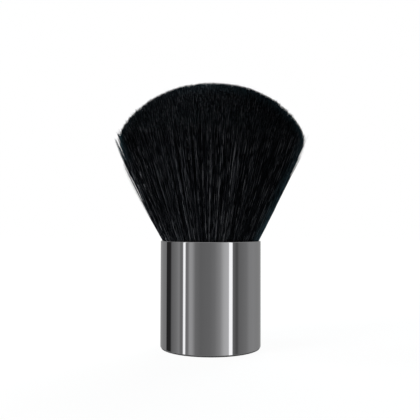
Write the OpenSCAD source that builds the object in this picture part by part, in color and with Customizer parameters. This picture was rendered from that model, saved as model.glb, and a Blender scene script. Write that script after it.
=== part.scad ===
// A short round makeup brush: a polished metal barrel that carries a flared, domed head of bristles.
// Sizes are in millimetres. +Z is up, and the origin is the centre of the face that the brush stands on.

/* [Barrel] */
// Outer diameter of the barrel
barrel_d = 34; // [33.4:0.2:38]
// Height of the barrel, from the table to its rim
barrel_h = 36; // [34:0.5:46]
// Wall of the metal sleeve
sleeve_wall = 0.5; // [0.4:0.05:0.7]
// Chamfer round the foot of the sleeve
foot_chamfer = 0.15; // [0.05:0.05:0.3]

/* [Head of bristles] */
// Widest diameter of the head
head_d = 62.8; // [56:0.2:70]
// Height of the widest part above the rim
flare_h = 34; // [26:0.5:40]
// Height of the dome above the widest part
dome_h = 19; // [14:0.2:26]
// Fullness of the dome: 1 is a parabola, 0.5 an ellipse
dome_power = 0.65; // [0.5:0.01:1]
// Rings of strands round the middle one
strand_rings = 12; // [10:1:12]
// Thickness of a strand at its root
root_w = 0.8; // [0.5:0.05:0.9]
// Thickness of a strand at its belly, where it is thickest
belly_w = 1.9; // [1:0.1:2]
// Most that a strand is shorter than its neighbours
uneven_l = 0.4; // [0:0.1:1]
// How far the packed roots stay below the rim
roots_below_rim = 1; // [0.6:0.1:1.6]
// How far a strand reaches into the packed roots
strand_sink = 0.6; // [0.3:0.1:1]

/* [Tuft ring and binding] */
// Wall of the tuft ring
ring_wall = 0.3; // [0.2:0.05:0.35]
// Depth of the groove that is rolled into the ring
crimp_depth = 0.5; // [0.2:0.05:0.7]
// Height of that groove
crimp_h = 2.4; // [1.6:0.1:3]
// How far the middle of the groove lies below the top of the ring
crimp_below_top = 2.6; // [2:0.1:3.5]
// Diameter of the binding thread
thread_d = 0.7; // [0.5:0.05:0.8]
// Clear gap between two turns of the thread
thread_gap = 0.45; // [0.42:0.01:0.8]
// Turns of the binding thread
thread_turns = 5; // [3:1:6]

/* [Insert and base] */
// Wall of the insert round the tuft ring
socket_wall = 0.85; // [0.7:0.05:1.4]
// Wall of the insert round the weight
skirt_wall = 1.95; // [1.4:0.05:4]
// Height of the weight
weight_h = 8.5; // [5:0.5:9]
// Chamfer on both edges of the weight
weight_chamfer = 0.6; // [0.3:0.1:1.2]
// Depth of the insert's socket below the top of the tuft ring
tuft_depth = 17; // [15:0.5:19]
// Thickness of the insert's floor, between the weight and the roots
insert_floor = 1.5; // [1:0.1:2]
// Number of webs under that floor, which hold the weight down
web_count = 6; // [3:1:8]
// Thickness of a web
web_w = 1.2; // [0.8:0.1:2]
// How far the insert's top stands above the tuft ring
insert_lip = 0.5; // [0.2:0.1:0.7]
// Radius of the hole that lets glue down through that floor
vent_r = 2; // [1:0.1:3]
// Number of glue channels down the outside of the insert
channel_count = 12; // [6:1:20]
// Radius of a glue channel
channel_r = 0.8; // [0.5:0.05:1]
// Depth of a glue channel
channel_depth = 0.4; // [0.2:0.05:0.45]
// Height of the plain band at the insert's top, which stops the glue
top_band_h = 3; // [2:0.5:5]
// Chamfer that leads the insert into the sleeve, and the tuft ring into the insert
lead_chamfer = 0.25; // [0.1:0.05:0.3]
// Thickness of the glue under the roots
glue_h = 2; // [1:0.1:3]
// Thickness of the base cap's edge, which shows under the sleeve
cap_edge_h = 0.4; // [0.3:0.05:0.8]
// How far the cap's edge lies inside the outside of the sleeve
cap_edge_inset = 0.15; // [0.1:0.05:0.35]
// How much the cap's edge draws in from there to its underside
cap_taper = 0.15; // [0.05:0.05:0.3]
// Thickness of the base cap's floor
cap_floor = 1.4; // [1.2:0.1:2]
// Height of the cap's spigot above its floor
spigot_h = 3; // [2:0.2:4]
// Wall of the spigot
spigot_wall = 0.9; // [0.6:0.1:1]
// Number of crush ribs round the spigot
crush_rib_count = 8; // [4:1:16]
// Radius of a crush rib
crush_rib_r = 0.5; // [0.3:0.05:0.6]
// How far a crush rib stands out of the spigot
crush_rib_h = 0.2; // [0.1:0.05:0.25]
// Height of the tapered tip of a crush rib
crush_tip_h = 0.8; // [0.4:0.1:1.2]

/* [Clearances] */
// Gap between the sleeve and what is pressed into it
press_gap = 0.05; // [0.02:0.01:0.08]
// Gap that glue fills between two pieces
glue_gap = 0.1; // [0.05:0.01:0.15]

/* [Hidden] */
$fn = 96;

// Sleeve and base cap
barrel_r = barrel_d / 2;
bore_r = barrel_r - sleeve_wall;
pressed_r = bore_r - press_gap;
spigot_r = pressed_r - crush_rib_h;
spigot_top = cap_floor + spigot_h;
rim_r = sleeve_wall / 2;
rim_z = barrel_h - rim_r;

// The sides of the head are straight lines that meet at fan_z on the axis, inside the barrel
head_r = head_d / 2;
flare = (head_r - bore_r) / flare_h;
fan_z = barrel_h - bore_r / flare;
widest_z = barrel_h + flare_h;
roots_top = barrel_h - roots_below_rim;
roots_r = flare * (roots_top - fan_z);

// Tuft ring in its socket, up to where the head starts to flare, and the packed roots in it
socket_r = pressed_r - socket_wall;
ring_r = socket_r - glue_gap - ring_wall;
bundle_r = ring_r - glue_gap;
ring_top = fan_z + bundle_r / flare;
crimp_z = ring_top - crimp_below_top;
crimp_steps = 12;
insert_top = ring_top + insert_lip;

// Weight, and the insert round and over it
skirt_r = pressed_r - skirt_wall;
weight_r = skirt_r - glue_gap;
weight_top = cap_floor + weight_h;
skirt_bottom = spigot_top + glue_gap;
floor_top = ring_top - tuft_depth;
floor_bottom = floor_top - insert_floor;

// Roots and the thread wound round them
roots_bottom = floor_top + glue_h;
thread_steps = 24;
thread_sides = 6;
thread_pitch = thread_d + thread_gap;
winding_r = bundle_r - thread_d / 2;
winding_bottom = roots_bottom + 2 * thread_d;
winding_top = winding_bottom + thread_turns * thread_pitch;
waist_r = winding_r * cos(180 / thread_steps) - thread_d / 2 - glue_gap / 2;

// A strand has three rings of points and a tip
strand_sides = 3;
strand_points = 3 * strand_sides + 1;
belly_share = 0.8;
shoulder_share = 0.965;
shoulder_w = 0.7 * belly_w;
golden = (sqrt(5) - 1) / 2;

// Height of the dome at a distance from the axis
function dome_z(r) = widest_z + dome_h * pow(1 - pow(r / head_r, 2), dome_power);

// How deep the rolled groove is at a height
function crimp_at(z) =
    abs(z - crimp_z) < crimp_h / 2 ? crimp_depth * pow(cos(180 * (z - crimp_z) / crimp_h), 2) : 0;

// Heights at which the groove's outline has a point
crimp_heights = [for (i = [0:crimp_steps]) crimp_z + crimp_h * (i / crimp_steps - 0.5)];

// Triangles round a stack of rings of points, each ring running anticlockwise about the way ahead
function side_faces(first, rings, sides) = [
    for (j = [0:rings - 2], i = [0:sides - 1])
        let (a = first + j * sides + i, b = first + j * sides + (i + 1) % sides)
        each [[a, a + sides, b + sides], [a, b + sides, b]]
];
function start_faces(first, sides) = [for (i = [1:sides - 2]) [first, first + i, first + i + 1]];
function end_faces(first, sides) = [for (i = [1:sides - 2]) [first, first + i + 1, first + i]];
function tip_faces(first, sides) =
    [for (i = [0:sides - 1]) [first + i, first + sides, first + (i + 1) % sides]];

// The middle line of the thread, one point a step, and straight for one diameter at both ends
function thread_at(turns) =
    [winding_r * cos(360 * turns), winding_r * sin(360 * turns), winding_bottom + thread_pitch * turns];
thread_end = [0, thread_d, 0];
thread_line = [
    thread_at(0) - thread_end,
    for (i = [0:thread_turns * thread_steps]) thread_at(i / thread_steps),
    thread_at(thread_turns) + thread_end,
];
function thread_ring(p) =
    let (out = [p.x, p.y, 0] / norm([p.x, p.y]))
    [
        for (i = [0:thread_sides - 1])
            let (a = 360 * i / thread_sides)
            p + thread_d / 2 * (cos(a) * out - [0, 0, sin(a)])
    ];
thread_clear = min([
    for (i = [0:len(thread_line) - 1], j = [i + thread_steps / 2:len(thread_line) - 1])
        norm(thread_line[j] - thread_line[i])
]) - thread_d;

// Each strand is its root, its tip and the way it faces. Ring k has 6 k strands.
function strand(k, j, count) =
    let (
        turn = 360 * (j / count + (strand_rings - k) * golden),
        share = k / strand_rings,
        order = 3 * k * (k - 1) + j,
        tip_r = share * (head_r - belly_w / 4),
        root_r = share * (roots_r - root_w / 2),
        short = uneven_l * (order * golden - floor(order * golden)),
        out = [cos(turn), sin(turn), 0]
    )
    [root_r * out + [0, 0, roots_top], tip_r * out + [0, 0, dome_z(tip_r) - short], out];
strands = [
    strand(0, 0, 1),
    for (k = [1:strand_rings], j = [0:6 * k - 1]) strand(k, j, 6 * k),
];

function strand_axis(s, share) = s[0] + (s[1] - s[0]) * share;
function strand_ring(s, share, w) =
    [
        for (i = [0:strand_sides - 1])
            let (a = 360 * (i + 0.5) / strand_sides)
            strand_axis(s, share) + w / 2 * (cos(a) * s[2] + sin(a) * [-s[2].y, s[2].x, 0])
    ];
function sink_share(s) = -strand_sink / (s[1].z - s[0].z);
function strand_skin(s) = [
    each strand_ring(s, sink_share(s), root_w),
    each strand_ring(s, belly_share, belly_w),
    each strand_ring(s, shoulder_share, shoulder_w),
    s[1],
];
function strand_faces(first) = [
    each start_faces(first, strand_sides),
    each side_faces(first, 3, strand_sides),
    each tip_faces(first + 2 * strand_sides, strand_sides),
];

// Least clear gap between two strands at the height of the belly and at the roots
function strand_clear(share, w) = min([
    for (i = [0:len(strands) - 2], j = [i + 1:min(len(strands) - 1, i + 14 * strand_rings)])
        norm(strand_axis(strands[i], share) - strand_axis(strands[j], share))
]) - w;

echo(strands = len(strands), belly_gap = strand_clear(belly_share, belly_w), root_gap = strand_clear(0, root_w));
echo(thread_gap_measured = thread_clear, fan_z = fan_z, ring_top = ring_top, roots_r = roots_r);

// Drawn metal tube with a fully rounded rim
module sleeve() {
    color("dimgray") rotate_extrude() {
        polygon([
            [bore_r, cap_edge_h],
            [barrel_r - foot_chamfer, cap_edge_h],
            [barrel_r, cap_edge_h + foot_chamfer],
            [barrel_r, rim_z],
            [bore_r, rim_z],
        ]);
        translate([bore_r + rim_r, rim_z]) circle(rim_r);
    }
}

// Pressed cap that closes the foot of the sleeve, with crush ribs round its spigot
module base_cap() {
    edge_r = barrel_r - cap_edge_inset;
    color("black") {
        rotate_extrude() polygon([
            [0, 0],
            [edge_r - cap_taper, 0],
            [edge_r, cap_edge_h],
            [spigot_r, cap_edge_h],
            [spigot_r, spigot_top - lead_chamfer],
            [spigot_r - lead_chamfer, spigot_top],
            [spigot_r - spigot_wall, spigot_top],
            [spigot_r - spigot_wall, cap_floor],
            [0, cap_floor],
        ]);
        for (i = [1:crush_rib_count])
            rotate(360 * i / crush_rib_count)
                translate([pressed_r - crush_rib_r, 0, 0])
                    crush_rib();
    }
}

// Half-round rib that the sleeve squeezes, with a tapered tip
module crush_rib() {
    tip_bottom = spigot_top - lead_chamfer - crush_tip_h;
    translate([0, 0, cap_edge_h / 2]) cylinder(r = crush_rib_r, h = tip_bottom - cap_edge_h / 2);
    translate([0, 0, tip_bottom])
        cylinder(r1 = crush_rib_r, r2 = crush_rib_r - 1.5 * crush_rib_h, h = crush_tip_h);
}

// Turned slug that keeps the brush upright under its wide head
module counterweight() {
    color("slategray") rotate_extrude() polygon([
        [0, cap_floor],
        [weight_r - weight_chamfer, cap_floor],
        [weight_r, cap_floor + weight_chamfer],
        [weight_r, weight_top - weight_chamfer],
        [weight_r - weight_chamfer, weight_top],
        [0, weight_top],
    ]);
}

// Moulded insert: a skirt over the weight, a webbed floor and a socket for the tuft ring
module insert() {
    web_start = vent_r + web_w;
    color("whitesmoke") {
        difference() {
            rotate_extrude() polygon([
                [skirt_r, skirt_bottom],
                [pressed_r - lead_chamfer, skirt_bottom],
                [pressed_r, skirt_bottom + lead_chamfer],
                [pressed_r, insert_top - lead_chamfer],
                [pressed_r - lead_chamfer, insert_top],
                [socket_r + lead_chamfer, insert_top],
                [socket_r, insert_top - lead_chamfer],
                [socket_r, floor_top],
                [vent_r, floor_top],
                [vent_r, floor_bottom],
                [skirt_r, floor_bottom],
            ]);
            for (i = [1:channel_count])
                rotate(360 * i / channel_count)
                    translate([pressed_r + channel_r - channel_depth, 0, 0])
                        cylinder(r = channel_r, h = insert_top - top_band_h);
        }
        for (i = [1:web_count])
            rotate(360 * i / web_count)
                translate([web_start, -web_w / 2, weight_top])
                    cube([(skirt_r + pressed_r) / 2 - web_start, web_w, floor_bottom - weight_top]);
    }
}

// Thin metal ring with a rolled groove that grips the bundle above its binding
module tuft_ring() {
    color("silver") rotate_extrude() polygon([
        [ring_r, floor_top],
        [ring_r + ring_wall, floor_top],
        for (z = crimp_heights) [ring_r + ring_wall - crimp_at(z), z],
        [ring_r + ring_wall, ring_top],
        [ring_r, ring_top],
        for (i = [crimp_steps:-1:0]) [ring_r - crimp_at(crimp_heights[i]), crimp_heights[i]],
    ]);
}

// Resin under the roots, run down through the vent
module root_glue() {
    color("goldenrod") {
        translate([0, 0, floor_top]) cylinder(r = ring_r - glue_gap, h = glue_h);
        translate([0, 0, floor_bottom]) cylinder(r = vent_r - glue_gap, h = insert_floor + glue_h / 2);
    }
}

// Thread wound tightly round the roots
module root_binding() {
    rings = len(thread_line);
    color("linen") polyhedron(
        points = [for (p = thread_line) each thread_ring(p)],
        faces = [
            each start_faces(0, thread_sides),
            each side_faces(0, rings, thread_sides),
            each end_faces((rings - 1) * thread_sides, thread_sides),
        ]
    );
}

// The packed roots, necked where the thread and the ring's groove bite
module packed_roots() {
    rotate_extrude() polygon([
        [0, roots_bottom],
        [bundle_r, roots_bottom],
        [bundle_r, winding_bottom - 1.5 * thread_d],
        [waist_r, winding_bottom - thread_d / 2],
        [waist_r, winding_top + thread_d / 2],
        [bundle_r, winding_top + 1.5 * thread_d],
        for (z = crimp_heights) [bundle_r - crimp_at(z), z],
        [bundle_r, ring_top],
        [roots_r, roots_top],
        [0, roots_top],
    ]);
}

// The head: strands that fan out of the packed roots and end on the dome
module bristles() {
    color("black") {
        packed_roots();
        polyhedron(
            points = [for (s = strands) each strand_skin(s)],
            faces = [for (i = [0:len(strands) - 1]) each strand_faces(i * strand_points)]
        );
    }
}

sleeve();
base_cap();
counterweight();
insert();
tuft_ring();
root_glue();
root_binding();
bristles();
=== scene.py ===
import math
import random
import bmesh
import bpy
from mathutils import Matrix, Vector
from mathutils.kdtree import KDTree


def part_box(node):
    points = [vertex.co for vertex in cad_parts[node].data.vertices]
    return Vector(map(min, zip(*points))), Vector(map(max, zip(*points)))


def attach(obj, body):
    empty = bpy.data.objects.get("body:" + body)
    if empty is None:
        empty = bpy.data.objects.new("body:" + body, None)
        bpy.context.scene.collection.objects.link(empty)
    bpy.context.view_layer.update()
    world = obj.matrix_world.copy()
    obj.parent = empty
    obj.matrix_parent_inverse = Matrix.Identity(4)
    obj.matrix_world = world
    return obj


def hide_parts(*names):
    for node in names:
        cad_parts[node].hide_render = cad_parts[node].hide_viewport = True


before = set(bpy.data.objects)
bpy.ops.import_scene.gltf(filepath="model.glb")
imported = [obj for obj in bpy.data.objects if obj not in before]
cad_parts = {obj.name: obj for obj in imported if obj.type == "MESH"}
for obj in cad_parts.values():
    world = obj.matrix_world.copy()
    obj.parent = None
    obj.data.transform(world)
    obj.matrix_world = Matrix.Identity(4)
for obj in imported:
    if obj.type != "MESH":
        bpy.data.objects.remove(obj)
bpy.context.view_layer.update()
print("frame loaded:", ", ".join(sorted(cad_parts)))

# The sizes that everything below is set out from, in metres
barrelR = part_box("sleeve")[1][0]
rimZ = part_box("sleeve")[1][2]
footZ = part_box("sleeve")[0][2]
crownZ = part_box("bristles")[1][2]
brush = {
    "wall": 0.0005,       # of the metal sleeve
    "headR": 0.0314,      # widest part of the head
    "flareH": 0.034,      # from the rim up to the widest part
    "domePower": 0.65,    # 1 is a parabola, 0.5 an ellipse
    "lean": 0.0003,       # the head sits a little to the right of the barrel
    "swellH": 0.0004,     # the crown stands this much fuller round a place on its right
    "swellX": 0.014,
    "swellWide": 0.010,
}
boreR = barrelR - brush["wall"]
widestZ = rimZ + brush["flareH"]
flare = (brush["headR"] - boreR) / brush["flareH"]
fanZ = rimZ - boreR / flare  # the straight sides of the head meet here, inside the barrel


def domeZ(radius):
    share = min(abs(radius) / brush["headR"], 1.0)
    return widestZ + (crownZ - widestZ) * (1 - share ** 2) ** brush["domePower"]


def swellAt(point):
    away = (point.x - brush["swellX"]) ** 2 + point.y ** 2
    return brush["swellH"] * math.exp(-away / brush["swellWide"] ** 2)


# Camera: a 51 mm lens a little above the rim, tipped slightly up
camera = {
    "lens": 51.09, "sensor": 36.0, "clipStart": 0.01, "place": (-0.00026, -0.2038, 0.04103),
    "pitch": 1.53, "roll": -0.146,  # in degrees
}
cameraData = bpy.data.cameras.new("camera")
cameraData.lens = camera["lens"]
cameraData.sensor_width = camera["sensor"]
cameraData.clip_start = camera["clipStart"]
cameraObject = bpy.data.objects.new("camera", cameraData)
cameraObject.location = camera["place"]
cameraObject.rotation_euler = (math.radians(90 + camera["pitch"]), math.radians(camera["roll"]), 0)
bpy.context.scene.collection.objects.link(cameraObject)
bpy.context.scene.camera = cameraObject
print("camera set")


# Small helpers for node trees
def addNode(tree, kind, **values):
    node = tree.nodes.new(kind)
    for key, value in values.items():
        setattr(node, key, value)
    return node


# An input takes another node's output, a colour, or a plain value
def feed(tree, socket, value):
    if isinstance(value, bpy.types.NodeSocket):
        tree.links.new(value, socket)
    elif isinstance(value, tuple):
        socket.default_value = (*value, 1)
    else:
        socket.default_value = value


def mathNode(tree, operation, *values):
    node = addNode(tree, "ShaderNodeMath", operation=operation)
    for socket, value in zip(node.inputs, values):
        feed(tree, socket, value)
    return node.outputs[0]


def splitAxes(tree, vector):
    node = addNode(tree, "ShaderNodeSeparateXYZ")
    feed(tree, node.inputs[0], vector)
    return node.outputs


def joinAxes(tree, **values):
    node = addNode(tree, "ShaderNodeCombineXYZ")
    for key, value in values.items():
        feed(tree, node.inputs[key], value)
    return node.outputs[0]


def mapRange(tree, kind, value, *limits):
    node = addNode(tree, "ShaderNodeMapRange", interpolation_type=kind)
    feed(tree, node.inputs["Value"], value)
    for key, limit in zip(("From Min", "From Max", "To Min", "To Max"), limits):
        feed(tree, node.inputs[key], limit)
    return node.outputs["Result"]


def rangeOf(tree, value, low, high):
    return mapRange(tree, "LINEAR", value, 0.0, 1.0, low, high)


def smoothBetween(tree, value, start, end, low=0.0, high=1.0):
    return mapRange(tree, "SMOOTHSTEP", value, start, end, low, high)


def mixOf(tree, kind, factor, first, second):
    node = addNode(tree, "ShaderNodeMix", data_type=kind)
    for key, value in (("Factor", factor), ("A", first), ("B", second)):
        feed(tree, node.inputs[key], value)
    return node.outputs["Result"]


def noiseOf(tree, vector, scale, detail, dimensions="3D"):
    node = addNode(tree, "ShaderNodeTexNoise", noise_dimensions=dimensions)
    for key, value in (("Vector", vector), ("Scale", scale), ("Detail", detail)):
        feed(tree, node.inputs[key], value)
    return node.outputs[0]


def fillRamp(node, stops):
    ramp = node.color_ramp
    while len(ramp.elements) > 1:
        ramp.elements.remove(ramp.elements[-1])
    for i, (place, value) in enumerate(stops):
        stop = ramp.elements[0] if i == 0 else ramp.elements.new(place)
        stop.position = place
        stop.color = (*value, 1) if isinstance(value, tuple) else (value, value, value, 1)


# Studio: white all round, with the strips and dark cards that the polished barrel mirrors.
# Each strip is (direction in degrees round the brush from the camera, to the right, and brightness).
studio = {
    "strips": [
        (-180, 0.44), (-119.8, 0.5), (-118.4, 0.04), (-102.6, 0.05), (-98.5, 0.33), (-84, 0.48),
        (-75, 0.64), (-71.5, 0.42), (-64.9, 0.4), (-63.9, 2.95), (-58.6, 2.95), (-57.6, 0.45),
        (-52, 0.5), (-47.5, 0.94), (-42, 0.86), (-34, 0.43), (-22, 0.345), (-2, 0.38), (9, 0.46),
        (21, 0.69), (30, 1.14), (40.9, 1.35), (42, 3.05), (49.5, 3.05), (50.6, 0.42), (59.5, 0.2),
        (62.5, 0.21), (66.5, 0.35), (88, 0.47), (98, 0.62), (113, 0.63), (145, 0.45),
    ],
    "stripTop": 4.0,        # what the ramp's full white stands for
    "overheadFrom": 0.35,   # how far up the overhead light begins, as the sine of its height
    "overheadTo": 0.75,
    "overhead": 1.1,
    "room": 0.14,           # plain light of the white room
    "paper": 0.95,          # how white the floor is under the lamps
    "floorShade": 0.1,      # how much of the floor's own shading shows over white
    "floorWhite": 1.03,     # makes up for the share of the floor's own shading
    "shadeFrom": 0.06,      # the floor fades to plain white between these distances
    "shadeTo": 0.3,
    "floorSize": 3.0,
}
white = (1.0, 1.0, 1.0)
world = bpy.data.worlds.new("studio")
bpy.context.scene.world = world
world.use_nodes = True
tree = world.node_tree
tree.nodes.clear()
axes = splitAxes(tree, addNode(tree, "ShaderNodeTexCoord").outputs["Generated"])
turned = mathNode(tree, "ARCTAN2", axes["X"], mathNode(tree, "MULTIPLY", axes["Y"], -1.0))
strips = addNode(tree, "ShaderNodeValToRGB")
fillRamp(strips, [((angle + 180) / 360, value / studio["stripTop"]) for angle, value in studio["strips"]])
feed(tree, strips.inputs[0], mathNode(tree, "MULTIPLY_ADD", turned, 1 / math.tau, 0.5))
stripLight = mathNode(tree, "MULTIPLY", strips.outputs["Color"], studio["stripTop"])
upward = smoothBetween(tree, axes["Z"], studio["overheadFrom"], studio["overheadTo"])
mirrored = mixOf(tree, "FLOAT", upward, stripLight, studio["overhead"])
paths = addNode(tree, "ShaderNodeLightPath")
roomOrMirror = mixOf(tree, "FLOAT", paths.outputs["Is Glossy Ray"], studio["room"], mirrored)
background = addNode(tree, "ShaderNodeBackground")
feed(tree, background.inputs["Color"], white)
seen = mixOf(tree, "FLOAT", paths.outputs["Is Camera Ray"], roomOrMirror, 1.0)
feed(tree, background.inputs["Strength"], seen)
feed(tree, addNode(tree, "ShaderNodeOutputWorld").inputs["Surface"], background.outputs[0])

# Floor: white to the camera, with a trace of its own shading so that the brush keeps its shadow
bm = bmesh.new()
bmesh.ops.create_grid(bm, x_segments=1, y_segments=1, size=studio["floorSize"] / 2)
floorMesh = bpy.data.meshes.new("studioFloor")
bm.to_mesh(floorMesh)
bm.free()
floorObject = bpy.data.objects.new("studioFloor", floorMesh)
bpy.context.scene.collection.objects.link(floorObject)
floorObject.visible_glossy = False  # the barrel mirrors the studio, down to its foot
floorPaint = bpy.data.materials.new("studioFloor")
floorPaint.use_nodes = True
tree = floorPaint.node_tree
tree.nodes.clear()
paper = addNode(tree, "ShaderNodeBsdfDiffuse")
feed(tree, paper.inputs["Color"], (studio["paper"],) * 3)
glow = addNode(tree, "ShaderNodeEmission")
feed(tree, glow.inputs["Color"], white)
feed(tree, glow.inputs["Strength"], studio["floorWhite"])
far = addNode(tree, "ShaderNodeVectorMath", operation="LENGTH")
feed(tree, far.inputs[0], addNode(tree, "ShaderNodeTexCoord").outputs["Object"])
fade = smoothBetween(
    tree, far.outputs["Value"], studio["shadeFrom"], studio["shadeTo"], 1 - studio["floorShade"], 1.0
)
toCamera = addNode(tree, "ShaderNodeLightPath").outputs["Is Camera Ray"]
blend = addNode(tree, "ShaderNodeMixShader")
feed(tree, blend.inputs[0], mathNode(tree, "MULTIPLY", toCamera, fade))
feed(tree, blend.inputs[1], paper.outputs[0])
feed(tree, blend.inputs[2], glow.outputs[0])
feed(tree, addNode(tree, "ShaderNodeOutputMaterial").inputs["Surface"], blend.outputs[0])
floorMesh.materials.append(floorPaint)

# Lamps: a soft key from the left in front, one from each side that catches the edges of the head,
# and one above behind. All aim a little over the rim.
lampAim = 0.01
lamps = {
    "key": {"place": (-0.64, -0.4, 0.17), "size": 0.35, "power": 6.5, "colour": white},
    "leftSide": {"place": (-0.62, 0.1, 0.14), "size": 0.3, "power": 3.2, "colour": (0.78, 0.97, 1)},
    "rightSide": {"place": (0.36, 0.58, 0.1), "size": 0.3, "power": 5.0, "colour": (0.75, 0.95, 1)},
    "back": {"place": (0.1, 0.5, 0.5), "size": 0.4, "power": 1.8, "colour": white},
}
for name, lamp in lamps.items():
    lampData = bpy.data.lights.new(name, "AREA")
    lampData.shape = "DISK"
    lampData.size = lamp["size"]
    lampData.energy = lamp["power"]
    lampData.color = lamp["colour"]
    lampObject = bpy.data.objects.new(name, lampData)
    lampObject.location = lamp["place"]
    aim = Vector((0, 0, rimZ + lampAim)) - Vector(lamp["place"])
    lampObject.rotation_euler = aim.to_track_quat("-Z", "Y").to_euler()
    lampObject.visible_camera = False
    lampObject.visible_glossy = False  # the barrel mirrors the strips only
    bpy.context.scene.collection.objects.link(lampObject)
print("studio set")


# Shader groups that several materials share: an input whose value is None is a vector
def newGroup(name, inputs, outputs):
    group = bpy.data.node_groups.new(name, "ShaderNodeTree")
    for socketName, value in inputs.items():
        kind = "NodeSocketVector" if value is None else "NodeSocketFloat"
        socket = group.interface.new_socket(socketName, in_out="INPUT", socket_type=kind)
        if value is not None:
            socket.default_value = value
    for socketName in outputs:
        group.interface.new_socket(socketName, in_out="OUTPUT", socket_type="NodeSocketFloat")
    return group, addNode(group, "NodeGroupInput").outputs, addNode(group, "NodeGroupOutput").inputs


# Speckle: fine grain for moulded and cast surfaces, as a height and a mask of broad patches.
# Turned lines: the fine rings that a lathe leaves round the Z axis.
noiseDetail = {"grain": 3, "patches": 2, "lines": 4, "streaks": 2}
patchShare = 0.04  # the patches' scale, as a share of the grain's
speckleGroup, given, made = newGroup(
    "speckle", {"Vector": None, "Scale": 6000.0, "Stretch": 1.0}, ("Height", "Patches")
)
scaled = addNode(speckleGroup, "ShaderNodeVectorMath", operation="MULTIPLY")
feed(speckleGroup, scaled.inputs[0], given["Vector"])
feed(speckleGroup, scaled.inputs[1], joinAxes(speckleGroup, X=1.0, Y=1.0, Z=given["Stretch"]))
broadScale = mathNode(speckleGroup, "MULTIPLY", given["Scale"], patchShare)
grainNoise = noiseOf(speckleGroup, scaled.outputs[0], given["Scale"], noiseDetail["grain"])
patchNoise = noiseOf(speckleGroup, scaled.outputs[0], broadScale, noiseDetail["patches"])
feed(speckleGroup, made["Height"], grainNoise)
feed(speckleGroup, made["Patches"], patchNoise)

turnedGroup, given, made = newGroup("turnedLines", {"Vector": None, "Pitch": 9000.0}, ("Height",))
at = splitAxes(turnedGroup, given["Vector"])
squares = [mathNode(turnedGroup, "MULTIPLY", at[axis], at[axis]) for axis in "XY"]
reach = mathNode(turnedGroup, "SQRT", mathNode(turnedGroup, "ADD", *squares))
section = joinAxes(turnedGroup, X=reach, Y=at["Z"])
feed(turnedGroup, made["Height"], noiseOf(turnedGroup, section, given["Pitch"], noiseDetail["lines"], "2D"))


def placeGroup(tree, group, **values):
    node = addNode(tree, "ShaderNodeGroup", node_tree=group)
    for key, value in values.items():
        feed(tree, node.inputs[key], value)
    return node.outputs


def newMaterial(name, colour, roughness, metallic=0.0, specular=0.5):
    material = bpy.data.materials.new(name)
    material.use_nodes = True
    tree = material.node_tree
    surface = tree.nodes["Principled BSDF"]
    feed(tree, surface.inputs["Base Color"], colour)
    feed(tree, surface.inputs["Roughness"], roughness)
    feed(tree, surface.inputs["Metallic"], metallic)
    feed(tree, surface.inputs["Specular IOR Level"], specular)
    return material, tree, surface


def bumpFrom(tree, surface, height, strength, distance):
    bump = addNode(tree, "ShaderNodeBump")
    for key, value in (("Strength", strength), ("Distance", distance), ("Height", height)):
        feed(tree, bump.inputs[key], value)
    feed(tree, surface.inputs["Normal"], bump.outputs[0])


def objectCoords(tree):
    return addNode(tree, "ShaderNodeTexCoord").outputs["Object"]


# Moulded pieces, resin and thread: fine grain, with broad patches in the colour and the gloss
moulded = {"grain": 7000.0, "bump": 0.35, "depth": 0.00003, "uneven": 0.08}


def mouldedPlastic(name, darker, paler, roughness):
    material, tree, surface = newMaterial(name, darker, roughness)
    grain = placeGroup(tree, speckleGroup, Vector=objectCoords(tree), Scale=moulded["grain"])
    gloss = rangeOf(tree, grain["Patches"], roughness - moulded["uneven"], roughness + moulded["uneven"])
    feed(tree, surface.inputs["Base Color"], mixOf(tree, "RGBA", grain["Patches"], darker, paler))
    feed(tree, surface.inputs["Roughness"], gloss)
    bumpFrom(tree, surface, grain["Height"], moulded["bump"], moulded["depth"])
    return material


# Turned and rolled metal: rings in the gloss and the bump, and broad patches in the colour
lathed = {
    "rings": 8000.0, "grain": 2500.0, "bump": 0.25, "depth": 0.00002,
    "smoother": 0.08, "rougher": 0.1,  # how far the roughness swings
}


def turnedMetal(name, darker, paler, roughness):
    material, tree, surface = newMaterial(name, darker, roughness, metallic=1.0)
    coords = objectCoords(tree)
    rings = placeGroup(tree, turnedGroup, Vector=coords, Pitch=lathed["rings"])
    grain = placeGroup(tree, speckleGroup, Vector=coords, Scale=lathed["grain"])
    gloss = rangeOf(tree, rings["Height"], roughness - lathed["smoother"], roughness + lathed["rougher"])
    feed(tree, surface.inputs["Base Color"], mixOf(tree, "RGBA", grain["Patches"], darker, paler))
    feed(tree, surface.inputs["Roughness"], gloss)
    bumpFrom(tree, surface, rings["Height"], lathed["bump"], lathed["depth"])
    return material


# Gunmetal: dark polished plating, with faint drawing lines and handling marks
gunmetal = {
    "dark": (0.292, 0.292, 0.300),
    "pale": (0.308, 0.308, 0.314),
    "polish": 0.02,
    "marks": 0.05,
    "lines": 5000.0,    # the drawing lines are grain drawn out along the barrel
    "drawnOut": 0.02,
    "smudges": 3500.0,
    "bump": 0.02,
    "depth": 0.000004,
}


def makeGunmetal():
    material, tree, surface = newMaterial("gunmetal", gunmetal["dark"], gunmetal["polish"], metallic=1.0)
    coords = objectCoords(tree)
    lines = placeGroup(
        tree, speckleGroup, Vector=coords, Scale=gunmetal["lines"], Stretch=gunmetal["drawnOut"]
    )["Height"]
    smudges = placeGroup(tree, speckleGroup, Vector=coords, Scale=gunmetal["smudges"])["Patches"]
    blur = mathNode(tree, "MULTIPLY", lines, smudges)
    feed(tree, surface.inputs["Base Color"], mixOf(tree, "RGBA", lines, gunmetal["dark"], gunmetal["pale"]))
    feed(tree, surface.inputs["Roughness"], rangeOf(tree, blur, gunmetal["polish"], gunmetal["marks"]))
    bumpFrom(tree, surface, lines, gunmetal["bump"], gunmetal["depth"])
    return material


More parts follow.
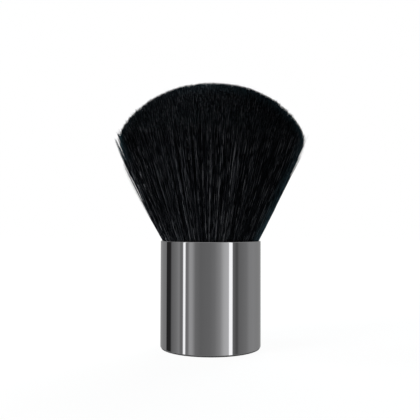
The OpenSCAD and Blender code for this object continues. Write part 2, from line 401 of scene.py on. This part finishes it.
# Each finish after the first has its darker and its paler colour, and its roughness
finishes = {
    "sleeve": makeGunmetal(),
    "base_cap": mouldedPlastic("blackCap", (0.012, 0.012, 0.013), (0.022, 0.022, 0.023), 0.45),
    "insert": mouldedPlastic("naturalPlastic", (0.62, 0.62, 0.59), (0.72, 0.72, 0.69), 0.5),
    "counterweight": turnedMetal("zincSteel", (0.42, 0.43, 0.45), (0.56, 0.57, 0.58), 0.34),
    "tuft_ring": turnedMetal("rolledAluminium", (0.66, 0.67, 0.68), (0.8, 0.8, 0.81), 0.28),
    "root_glue": mouldedPlastic("amberResin", (0.34, 0.2, 0.07), (0.45, 0.28, 0.1), 0.2),
    "root_binding": mouldedPlastic("waxedThread", (0.56, 0.52, 0.43), (0.74, 0.7, 0.6), 0.7),
}
for nodeName, material in finishes.items():
    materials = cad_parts[nodeName].data.materials
    if materials:
        for i in range(len(materials)):
            materials[i] = material
    else:
        materials.append(material)
print("finishes made")


def addPiece(name, mesh, material, slotName, *nodes):
    piece = bpy.data.objects.new(name, mesh)
    bpy.context.scene.collection.objects.link(piece)
    mesh.materials.clear()
    mesh.materials.append(material)
    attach(piece, "root")
    if nodes:
        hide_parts(*nodes)
    return piece


mergeWithin = 1e-7  # points of a spun shell that lie nearer each other than this are made one


# Spins an outline of (radius, height) points round the Z axis into a closed shell, smooth but for
# the edges that turn more than sharpFrom, in degrees
def spinOutline(name, outline, closed, steps, sharpFrom):
    bm = bmesh.new()
    points = [bm.verts.new((radius, 0, height)) for radius, height in outline]
    following = points[1:] + points[:1] if closed else points[1:]
    edges = [bm.edges.new(pair) for pair in zip(points, following)]
    bmesh.ops.spin(
        bm, geom=points + edges, cent=(0, 0, 0), axis=(0, 0, 1),
        angle=math.tau, steps=steps, use_merge=True,
    )
    bmesh.ops.remove_doubles(bm, verts=bm.verts, dist=mergeWithin)
    bmesh.ops.recalc_face_normals(bm, faces=bm.faces)
    for face in bm.faces:
        face.smooth = True
    for edge in bm.edges:
        edge.smooth = len(edge.link_faces) == 2 and edge.calc_face_angle(0) < math.radians(sharpFrom)
    mesh = bpy.data.meshes.new(name)
    bm.to_mesh(mesh)
    bm.free()
    return mesh


# Barrel: the sleeve as one spun shell, fine enough to mirror the strips without flats
barrel = {
    "steps": 256,       # round the axis
    "footChamfer": 0.00015,
    "rimSteps": 8,
    "nearEnd": 0.0001,  # rings this near the ends keep the long wall's shading true
    "sharpFrom": 30,    # the edges at the foot are sharp
}


def makeBarrel():
    rimR = brush["wall"] / 2
    outer = [
        (barrelR - barrel["footChamfer"], footZ),
        (barrelR, footZ + barrel["footChamfer"]),
        (barrelR, footZ + barrel["footChamfer"] + barrel["nearEnd"]),
        (barrelR, (footZ + rimZ) / 2),
        (barrelR, rimZ - rimR - barrel["nearEnd"]),
    ]
    turns = [math.pi * i / barrel["rimSteps"] for i in range(barrel["rimSteps"] + 1)]
    rim = [(boreR + rimR + rimR * math.cos(turn), rimZ - rimR + rimR * math.sin(turn)) for turn in turns]
    inner = [(boreR, rimZ - rimR - barrel["nearEnd"]), (boreR, footZ + barrel["nearEnd"]), (boreR, footZ)]
    mesh = spinOutline("barrelSleeve", outer + rim + inner, True, barrel["steps"], barrel["sharpFrom"])
    return addPiece("barrelSleeve", mesh, finishes["sleeve"], "sleeve", "sleeve")


makeBarrel()
print("barrel spun")

# Hair: near black, with fine pale streaks that fan out along the hairs, partly random tone and partly painted
# glints, and cool blue-green tips that are a painted backlit glow.
# The map's first axis is the hair's own tone, and its second runs from root to tip.
hairColour = {
    "deep": (0.0021, 0.0025, 0.0034),
    "soft": (0.0092, 0.0100, 0.0120),
    "pale": (0.040, 0.041, 0.046),
    "grey": (0.110, 0.111, 0.118),
    "softAt": 0.45,        # shares of the hairs that are darker than each of these tones
    "paleAt": 0.8,
    "packed": 0.015,       # painted light: more of the hair is painted lit at the rim, and up to this height over it
    "packedOver": 0.022,   # and up to this height over it
    # painted glow: the teal that backlight gives the thin tips
    "paintedTealGlow": (0.006, 0.026, 0.028),
    "tealFull": 0.99,      # the share of a hair's length at which its teal tip is full
    "roughness": 0.36,
    "uneven": 0.12,        # of the roughness, both ways
    "specular": 0.0,
}
# Across and along are how close the streaks lie both ways. Lit is the streak noise from which a hair starts
# to be painted lit, as a painted glint, and from which it is fully lit; the crown's hairs start higher, which
# paints the crown darker. Paler is how much paler than plain the lit hairs are.
streakLooks = {
    "flankHair": {
        "across": 200.0, "along": 300.0, "lit": (0.42, 0.58), "paler": 1.0,
        "tealFrom": 0.975, "tealShare": 0.2,
    },
    "edgeHair": {
        "across": 190.0, "along": 520.0, "lit": (0.49, 0.6), "paler": 1.25,
        "tealFrom": 0.97, "tealShare": 0.1,
    },
    # painted highlight: hairs painted pale for the gloss of a soft box on the left
    "paintedGlossHair": {
        "across": 200.0, "along": 200.0, "lit": (0.5, 0.58), "paler": 2.6,
        "tealFrom": 0.9, "tealShare": 0.4,
    },
    "middleHair": {
        "across": 180.0, "along": 700.0, "lit": (0.52, 0.61), "paler": 1.35,
        "tealFrom": 0.98, "tealShare": 0.2,
    },
    "crownHair": {
        "across": 160.0, "along": 700.0, "lit": (0.52, 0.61), "paler": 1.3,
        "tealFrom": 0.95, "tealShare": 0.25,
    },
}

# Streaks: noise that fans out with the hairs, so that a streak keeps to its hairs. Where it is lit, a hair
# shows its tone as a painted glint, and near the rim more of it is painted lit
streakGroup, given, made = newGroup(
    "hairStreaks",
    {"Vector": None, "Across": 180.0, "Along": 200.0, "LitFrom": 0.45, "LitTo": 0.6},
    ("Streak", "Lit"),
)
at = splitAxes(streakGroup, given["Vector"])
overFan = mathNode(streakGroup, "SUBTRACT", at["Z"], fanZ)
slopes = [mathNode(streakGroup, "DIVIDE", at[axis], overFan) for axis in "XY"]
acrossX, acrossY = [mathNode(streakGroup, "MULTIPLY", slope, given["Across"]) for slope in slopes]
fanned = joinAxes(
    streakGroup, X=acrossX, Y=acrossY, Z=mathNode(streakGroup, "MULTIPLY", overFan, given["Along"])
)
streak = noiseOf(streakGroup, fanned, 1.0, noiseDetail["streaks"])
# painted light: the neck is painted brighter by lighting more of the hair near the rim
packed = mapRange(
    streakGroup, "LINEAR", at["Z"], rimZ, rimZ + hairColour["packedOver"], hairColour["packed"], 0.0
)
litNoise = mathNode(streakGroup, "ADD", streak, packed)
feed(streakGroup, made["Streak"], streak)
feed(streakGroup, made["Lit"], smoothBetween(streakGroup, litNoise, given["LitFrom"], given["LitTo"]))

# Painted rim light: a mask along the top of the dome and down its two sides, where a cool teal rim light is
# painted into the hair's colour.
# A band is where the painted light starts and where it is full, and shares are its strength.
paintedRimLight = {
    "colour": (0.036, 0.064, 0.078),
    "topBand": (0.0088, 0.0018),     # as depths under the dome
    "topShares": (0.2, 0.85),        # on the left and on the right
    "sideBand": (0.0042, 0.0),       # as depths inside the flanks
    "leftShares": (0.0, 1.4),        # at the two heights over the rim below
    "leftHeights": (0.024, 0.037),
    "rightShares": (1.15, 0.45),
    "rightHeights": (0.0, 0.034),
    "turnX": 0.02,                   # it is fully left or right from this far out
    "litShares": (0.12, 1.0),        # on dark and on lit hairs
}
paintedRimGroup, given, made = newGroup("paintedCoolRim", {"Vector": None}, ("Edge",))


def sideStrength(height, hand):
    low, high = paintedRimLight[hand + "Heights"]
    return smoothBetween(paintedRimGroup, height, rimZ + low, rimZ + high, *paintedRimLight[hand + "Shares"])


at = splitAxes(paintedRimGroup, given["Vector"])
outward = mathNode(paintedRimGroup, "ABSOLUTE", at["X"])
reach = mathNode(paintedRimGroup, "DIVIDE", outward, brush["headR"])
rest = mathNode(paintedRimGroup, "SUBTRACT", 1.0, mathNode(paintedRimGroup, "POWER", reach, 2.0))
curve = mathNode(paintedRimGroup, "POWER", mathNode(paintedRimGroup, "MAXIMUM", rest, 0.0), brush["domePower"])
dome = mathNode(paintedRimGroup, "MULTIPLY_ADD", curve, crownZ - widestZ, widestZ)
top = smoothBetween(paintedRimGroup, mathNode(paintedRimGroup, "SUBTRACT", dome, at["Z"]), *paintedRimLight["topBand"])
topStrength = smoothBetween(paintedRimGroup, at["X"], -paintedRimLight["turnX"], paintedRimLight["turnX"], *paintedRimLight["topShares"])
flankX = mathNode(paintedRimGroup, "MULTIPLY", mathNode(paintedRimGroup, "SUBTRACT", at["Z"], fanZ), flare)
side = smoothBetween(paintedRimGroup, mathNode(paintedRimGroup, "SUBTRACT", flankX, outward), *paintedRimLight["sideBand"])
rightward = smoothBetween(paintedRimGroup, at["X"], -paintedRimLight["turnX"], paintedRimLight["turnX"])
strength = mixOf(paintedRimGroup, "FLOAT", rightward, sideStrength(at["Z"], "left"), sideStrength(at["Z"], "right"))
paintedRimMask = mathNode(
    paintedRimGroup, "MAXIMUM",
    mathNode(paintedRimGroup, "MULTIPLY", top, topStrength),
    mathNode(paintedRimGroup, "MULTIPLY", side, strength),
)
feed(paintedRimGroup, made["Edge"], paintedRimMask)


def makeHairMaterial(name):
    look = streakLooks[name]
    material, tree, surface = newMaterial(
        name, hairColour["deep"], hairColour["roughness"], specular=hairColour["specular"]
    )
    place = splitAxes(tree, addNode(tree, "ShaderNodeUVMap", uv_map="OFBake").outputs[0])
    tone = addNode(tree, "ShaderNodeValToRGB")
    feed(tree, tone.inputs[0], place["X"])
    soft, pale, grey = [
        tuple(look["paler"] * value for value in hairColour[key]) for key in ("soft", "pale", "grey")
    ]
    fillRamp(tone, [
        (0.0, hairColour["deep"]), (hairColour["softAt"], soft), (hairColour["paleAt"], pale), (1.0, grey),
    ])
    coords = objectCoords(tree)
    litFrom, litTo = look["lit"]
    streaks = placeGroup(
        tree, streakGroup,
        Vector=coords, Across=look["across"], Along=look["along"], LitFrom=litFrom, LitTo=litTo,
    )
    # painted glints: where the streaks are lit, a hair shows its own tone, and elsewhere it stays deep
    lit = mixOf(tree, "RGBA", streaks["Lit"], hairColour["deep"], tone.outputs["Color"])
    # painted teal glow on the tips, standing in for backlight through them
    tip = smoothBetween(tree, place["Y"], look["tealFrom"], hairColour["tealFull"], 0.0, look["tealShare"])
    glowTipped = mixOf(tree, "RGBA", tip, lit, hairColour["paintedTealGlow"])
    # painted cool rim light along the outline, stronger on the lit hairs
    edge = placeGroup(tree, paintedRimGroup, Vector=coords)["Edge"]
    paintedRimShare = mathNode(tree, "MULTIPLY", edge, rangeOf(tree, streaks["Lit"], *paintedRimLight["litShares"]))
    feed(tree, surface.inputs["Base Color"], mixOf(tree, "RGBA", paintedRimShare, glowTipped, paintedRimLight["colour"]))
    glossy = hairColour["roughness"] - hairColour["uneven"]
    matt = hairColour["roughness"] + hairColour["uneven"]
    feed(tree, surface.inputs["Roughness"], rangeOf(tree, streaks["Streak"], glossy, matt))
    return material


flankHair, edgeHair, paintedGlossHair, middleHair, crownHair = [makeHairMaterial(name) for name in streakLooks]

# A hair's column of the map lies at its tone, is this wide, and keeps this far from the map's edges
hairMap = {"columnWide": 0.002, "margin": 0.01}


# Turns lines of points into closed three-sided hairs, and lays their map
def makeHairBuilder():
    group = bpy.data.node_groups.new("hairBuilder", "GeometryNodeTree")
    group.interface.new_socket("Geometry", in_out="INPUT", socket_type="NodeSocketGeometry")
    group.interface.new_socket("Geometry", in_out="OUTPUT", socket_type="NodeSocketGeometry")

    def store(geometry, name, kind, domain, value):
        node = addNode(group, "GeometryNodeStoreNamedAttribute", data_type=kind, domain=domain)
        for key, given in (("Geometry", geometry), ("Name", name), ("Value", value)):
            feed(group, node.inputs[key], given)
        return node.outputs["Geometry"]

    def read(name):
        node = addNode(group, "GeometryNodeInputNamedAttribute", data_type="FLOAT")
        feed(group, node.inputs["Name"], name)
        return node.outputs["Attribute"]

    factor = addNode(group, "GeometryNodeSplineParameter").outputs["Factor"]
    chance = addNode(group, "FunctionNodeRandomValue", data_type="FLOAT").outputs[1]
    lines = store(addNode(group, "NodeGroupInput").outputs[0], "along", "FLOAT", "POINT", factor)
    lines = store(lines, "tone", "FLOAT", "CURVE", chance)
    ring = addNode(group, "GeometryNodeCurvePrimitiveCircle", mode="RADIUS")
    feed(group, ring.inputs["Resolution"], 3)
    feed(group, ring.inputs["Radius"], 1.0)
    ringFactor = addNode(group, "GeometryNodeSplineParameter").outputs["Factor"]
    section = store(ring.outputs["Curve"], "side", "FLOAT", "POINT", ringFactor)
    tube = addNode(group, "GeometryNodeCurveToMesh")
    feed(group, tube.inputs["Curve"], lines)
    feed(group, tube.inputs["Profile Curve"], section)
    feed(group, tube.inputs["Scale"], addNode(group, "GeometryNodeInputRadius").outputs[0])
    feed(group, tube.inputs["Fill Caps"], True)
    span = 1 - 2 * hairMap["margin"]
    column = mathNode(group, "MULTIPLY", read("side"), hairMap["columnWide"])
    across = mathNode(group, "MULTIPLY_ADD", read("tone"), span, column)
    upward = mathNode(group, "MULTIPLY_ADD", read("along"), span, hairMap["margin"])
    place = joinAxes(group, X=across, Y=upward)
    mapped = store(tube.outputs["Mesh"], "OFBake", "FLOAT2", "CORNER", place)
    smooth = addNode(group, "GeometryNodeSetShadeSmooth")
    feed(group, smooth.inputs["Geometry"], mapped)
    feed(group, addNode(group, "NodeGroupOutput").inputs[0], smooth.outputs[0])
    return group


hairBuilder = makeHairBuilder()


def addHairPiece(name, hairs, material, *nodes):
    curve = bpy.data.curves.new(name, "CURVE")
    curve.dimensions = "3D"
    for points, radii in hairs:
        line = curve.splines.new("POLY")
        line.points.add(len(points) - 1)
        line.points.foreach_set("co", [value for point in points for value in (*point, 1.0)])
        line.points.foreach_set("radius", radii)
    holder = bpy.data.objects.new(name + "Lines", curve)
    bpy.context.scene.collection.objects.link(holder)
    holder.modifiers.new("hairBuilder", "NODES").node_group = hairBuilder
    ready = holder.evaluated_get(bpy.context.evaluated_depsgraph_get())
    mesh = bpy.data.meshes.new_from_object(ready)
    mesh.name = name
    bpy.data.objects.remove(holder)
    bpy.data.curves.remove(curve)
    print(name, "has", len(hairs), "hairs and", len(mesh.polygons), "faces")
    return addPiece(name, mesh, material, "bristles", *nodes)


hair = {
    "radius": 0.000068,
    "tipRadius": 0.000016,
    "thickness": (0.8, 1.25),   # least and most, as shares of the radius
    "taperPower": 1.5,
    "rootZ": rimZ - 0.0012,
    "rootShare": 0.985,         # how far out the roots stand, as a share of the fan's own radius
    "domeShare": 0.995,         # a tip further out than this gets the dome's height here
    "twistShare": 0.1,          # nearer the axis than this, the twist grows no more
    "heldShare": 0.25,          # the waves grow over this share of a hair, from its root
    "waviness": (0.3, 1.7),     # least and most, as shares of a family's wave
    "bulge": 0.00028,           # the sides of the head are a little fuller than straight
}
# Each set of clumps has its number and its seed. All cover the same area, a little over the head's.
clumpLooks = {"fine": (5600, 11), "shoulder": (2400, 14), "left": (2400, 12)}
clumpArea = 1.1


# Tips of neighbouring hairs draw together into small clumps of uneven length
def plantClumps(count, seed):
    chance = random.Random(seed)
    tree = KDTree(count)
    lengths = []
    for i in range(count):
        share, turn = math.sqrt(chance.uniform(0, clumpArea)), chance.random() * math.tau
        tree.insert((share * math.cos(turn), share * math.sin(turn), 0), i)
        lengths.append(chance.gauss(0, 1))
    tree.balance()
    return tree, lengths


clumps = {name: plantClumps(*look) for name, look in clumpLooks.items()}


# One hair from its root inside the rim to its tip on the dome, as points with radii
def growHair(chance, share, turn, settings):
    rootR = share * flare * (hair["rootZ"] - fanZ) * hair["rootShare"]
    tipShare = share * (1 + chance.gauss(0, settings["spread"])) + chance.uniform(*settings["splay"])
    tipTurn = turn + chance.gauss(0, settings["twist"]) / max(tipShare, hair["twistShare"])
    tip = Vector((tipShare * math.cos(tipTurn), tipShare * math.sin(tipTurn), 0))
    clumpTree, clumpLengths = settings["clumps"]
    centre, index, _ = clumpTree.find(tip)
    tip = tip.lerp(centre, settings["pull"]) * brush["headR"]
    longer = clumpLengths[index] * settings["uneven"] - abs(chance.gauss(0, settings["short"]))
    under = domeZ(min(tip.length, hair["domeShare"] * brush["headR"]))
    tip.z = under + swellAt(tip) + longer + settings["above"]
    root = Vector((rootR * math.cos(turn), rootR * math.sin(turn), hair["rootZ"]))
    outward = Vector((math.cos(turn), math.sin(turn), 0))
    sideways = Vector((-math.sin(turn), math.cos(turn), 0))
    phase, sidePhase = chance.random() * math.tau, chance.random() * math.tau
    waves = chance.uniform(*settings["waves"])
    bend = chance.gauss(share ** 2 * hair["bulge"], settings["bend"])
    wave = settings["wave"] * chance.uniform(*hair["waviness"])
    thick = hair["radius"] * chance.uniform(*hair["thickness"])
    rings, start, taperFrom = settings["rings"], settings["start"], settings["taperFrom"]
    points, radii = [], []
    for i in range(rings):
        t = start + (1 - start) * i / (rings - 1)
        freed = min(t / hair["heldShare"], 1.0)
        point = root.lerp(tip, t)
        swing = freed * wave * math.sin(waves * t * math.tau + phase)
        point += outward * (bend * math.sin(math.pi * t) + swing)
        point += sideways * freed * wave * math.sin(waves * t * math.tau + sidePhase)
        point.x += brush["lean"] * t
        taper = 1 - max(0.0, (t - taperFrom) / (1 - taperFrom)) ** hair["taperPower"]
        points.append(point)
        radii.append(hair["tipRadius"] + (thick - hair["tipRadius"]) * taper)
    return points, radii


# Families of hairs. Shares are distances from the axis, 1 at the edge of the head, and start is how far
# up its line a hair begins. The tip's place varies by spread and twist, moves out by splay and is drawn
# to its clump by pull. Its height varies by uneven with the clump and by short, and is set above the dome.
flank = {
    "hairs": 4800, "rings": 7, "shares": (0.93, 1.0), "start": 0.0,
    "spread": 0.006, "splay": (0, 0.008), "twist": 0.012, "clumps": clumps["fine"], "pull": 0.25,
    "uneven": 0.00012, "short": 0.0014, "above": 0.0004,
    "waves": (0.6, 2.2), "wave": 0.00013, "bend": 0.00015, "taperFrom": 0.8, "material": flankHair,
}
crown = {
    "hairs": 12900, "rings": 3, "shares": (0.6, 0.93), "start": 0.72,
    "spread": 0.014, "splay": (0, 0), "twist": 0.016, "clumps": clumps["fine"], "pull": 0.25,
    "uneven": 0.00012, "short": 0.0009, "above": 0.0004,
    "waves": (0.3, 0.9), "wave": 0.0002, "bend": 0.0002, "taperFrom": 0.85, "material": crownHair,
}
crownOuter = {**crown, "shares": (0.66, 0.97), "material": edgeHair}
crownMiddle = {**crown, "shares": (0.45, 0.74), "short": 0.0011, "material": middleHair}
loose = {**flank, "rings": 8, "pull": 0.0, "uneven": 0.0}
lock = {
    **loose, "shares": (0.99, 1.0), "spread": 0.0, "waves": (0.5, 0.9), "wave": 0.00008, "bend": 0.00005,
    "turns": (math.pi - 0.02, math.pi + 0.02),
}
families = {
    "flankHairs": flank,
    "flankHairsToo": flank,
    "underHairs": {
        **flank, "hairs": 9000, "rings": 4, "shares": (0.8, 0.985), "short": 0.002, "waves": (0.3, 0.9),
    },
    "crownOuterHairs": {**crownOuter, "short": 0.0026},
    "crownOuterHairsToo": {**crownOuter, "short": 0.0014},
    "crownMiddleHairs": crownMiddle,
    "crownMiddleHairsToo": crownMiddle,
    "crownCentreHairs": {**crown, "hairs": 12000, "shares": (0.0, 0.5), "short": 0.0005, "above": 0.0002},
    "shoulderTufts": {
        **crown, "hairs": 7000, "shares": (0.7, 1.0), "spread": 0.006, "splay": (0, 0.008),
        "clumps": clumps["shoulder"], "pull": 0.75, "uneven": 0.00022, "short": 0.0005, "above": 0.0006,
        "material": edgeHair,
    },
    "leftTufts": {
        **crown, "hairs": 520, "shares": (0.88, 1.0), "spread": 0.0, "splay": (0.015, 0.035),
        "clumps": clumps["left"], "pull": 0.92, "uneven": 0.0003, "short": 0.0004, "above": 0.0012,
        "material": edgeHair, "turns": (math.pi - 0.6, math.pi + 0.5),
    },
    # painted highlight: a few hairs on the left painted pale, as the gloss of a soft box
    "paintedGlossHairs": {
        **loose, "hairs": 110, "shares": (0.985, 1.0), "spread": 0.004, "splay": (0.0, 0.012), "short": 0.002,
        "above": 0.0006, "waves": (0.4, 1.2), "wave": 0.0002, "material": paintedGlossHair,
        "turns": (math.pi - 0.9, math.pi + 0.5),
    },
    "strayHairs": {
        **loose, "hairs": 120, "shares": (0.985, 1.0), "spread": 0.01, "splay": (0.0, 0.03), "short": 0.003,
        "above": 0.001, "waves": (0.3, 0.8), "wave": 0.0003, "bend": 0.0003,
    },
    "leftStrayHairs": {
        **loose, "hairs": 26, "shares": (0.99, 1.0), "spread": 0.0, "splay": (0.012, 0.034), "short": 0.002,
        "above": 0.001, "waves": (0.3, 0.6), "wave": 0.0002, "bend": 0.0002,
        "turns": (math.pi - 0.25, math.pi + 0.15),
    },
    "leftLock": {
        **lock, "hairs": 16, "splay": (0.058, 0.063), "short": 0.0004, "above": 0.0, "taperFrom": 0.96,
    },
    "leftShortLock": {
        **lock, "hairs": 9, "rings": 6, "splay": (-0.036, -0.028), "short": 0.0006, "above": -0.0105,
        "taperFrom": 0.9,
    },
}


def growFamily(settings, seed):
    chance = random.Random(seed)
    low, high = settings["shares"]
    turns = settings.get("turns", (0, math.tau))
    hairs = []
    for _ in range(settings["hairs"]):
        share = math.sqrt(chance.uniform(low ** 2, high ** 2))  # even over the area
        hairs.append(growHair(chance, share, chance.uniform(*turns), settings))
    return hairs


for seed, (familyName, settings) in enumerate(families.items()):
    replaced = ["bristles"] if seed == 0 else []
    addHairPiece(familyName, growFamily(settings, seed + 1), settings["material"], *replaced)


# Dark mass inside the head, so that no light comes through between the hairs
core = {
    "inside": 0.88,    # its radius, as a share of the head's
    "below": 0.0052,   # how far under the dome it stays
    "steps": 96,       # round the axis
    "rings": 14,       # over the dome
    "sharpFrom": 180,  # none of its edges is sharp
    "black": (0.0, 0.0, 0.0),
    "roughness": 0.8,
    "specular": 0.05,
    "streaks": 4000.0,
    "drawnOut": 0.1,
    "bump": 0.6,
    "depth": 0.0001,
}


def makeCore():
    material, tree, surface = newMaterial(
        "packedHair", hairColour["deep"], core["roughness"], specular=core["specular"]
    )
    streaks = placeGroup(
        tree, speckleGroup, Vector=objectCoords(tree), Scale=core["streaks"], Stretch=core["drawnOut"]
    )["Height"]
    colour = mixOf(tree, "RGBA", streaks, core["black"], hairColour["soft"])
    feed(tree, surface.inputs["Base Color"], colour)
    bumpFrom(tree, surface, streaks, core["bump"], core["depth"])
    rimReach = core["inside"] * boreR
    wide = core["inside"] * brush["headR"]
    outline = [
        (0.0, hair["rootZ"]), (rimReach, hair["rootZ"]), (rimReach, rimZ), (wide, widestZ - core["below"]),
    ]
    for i in range(1, core["rings"]):
        radius = wide * math.cos(math.pi / 2 * i / core["rings"])
        outline.append((radius, domeZ(radius) - core["below"]))
    outline.append((0.0, domeZ(0) - core["below"]))
    mesh = spinOutline("hairCore", outline, False, core["steps"], core["sharpFrom"])
    return addPiece("hairCore", mesh, material, "bristles")


makeCore()
print("head grown")

bpy.context.scene.view_settings.view_transform = "Standard"
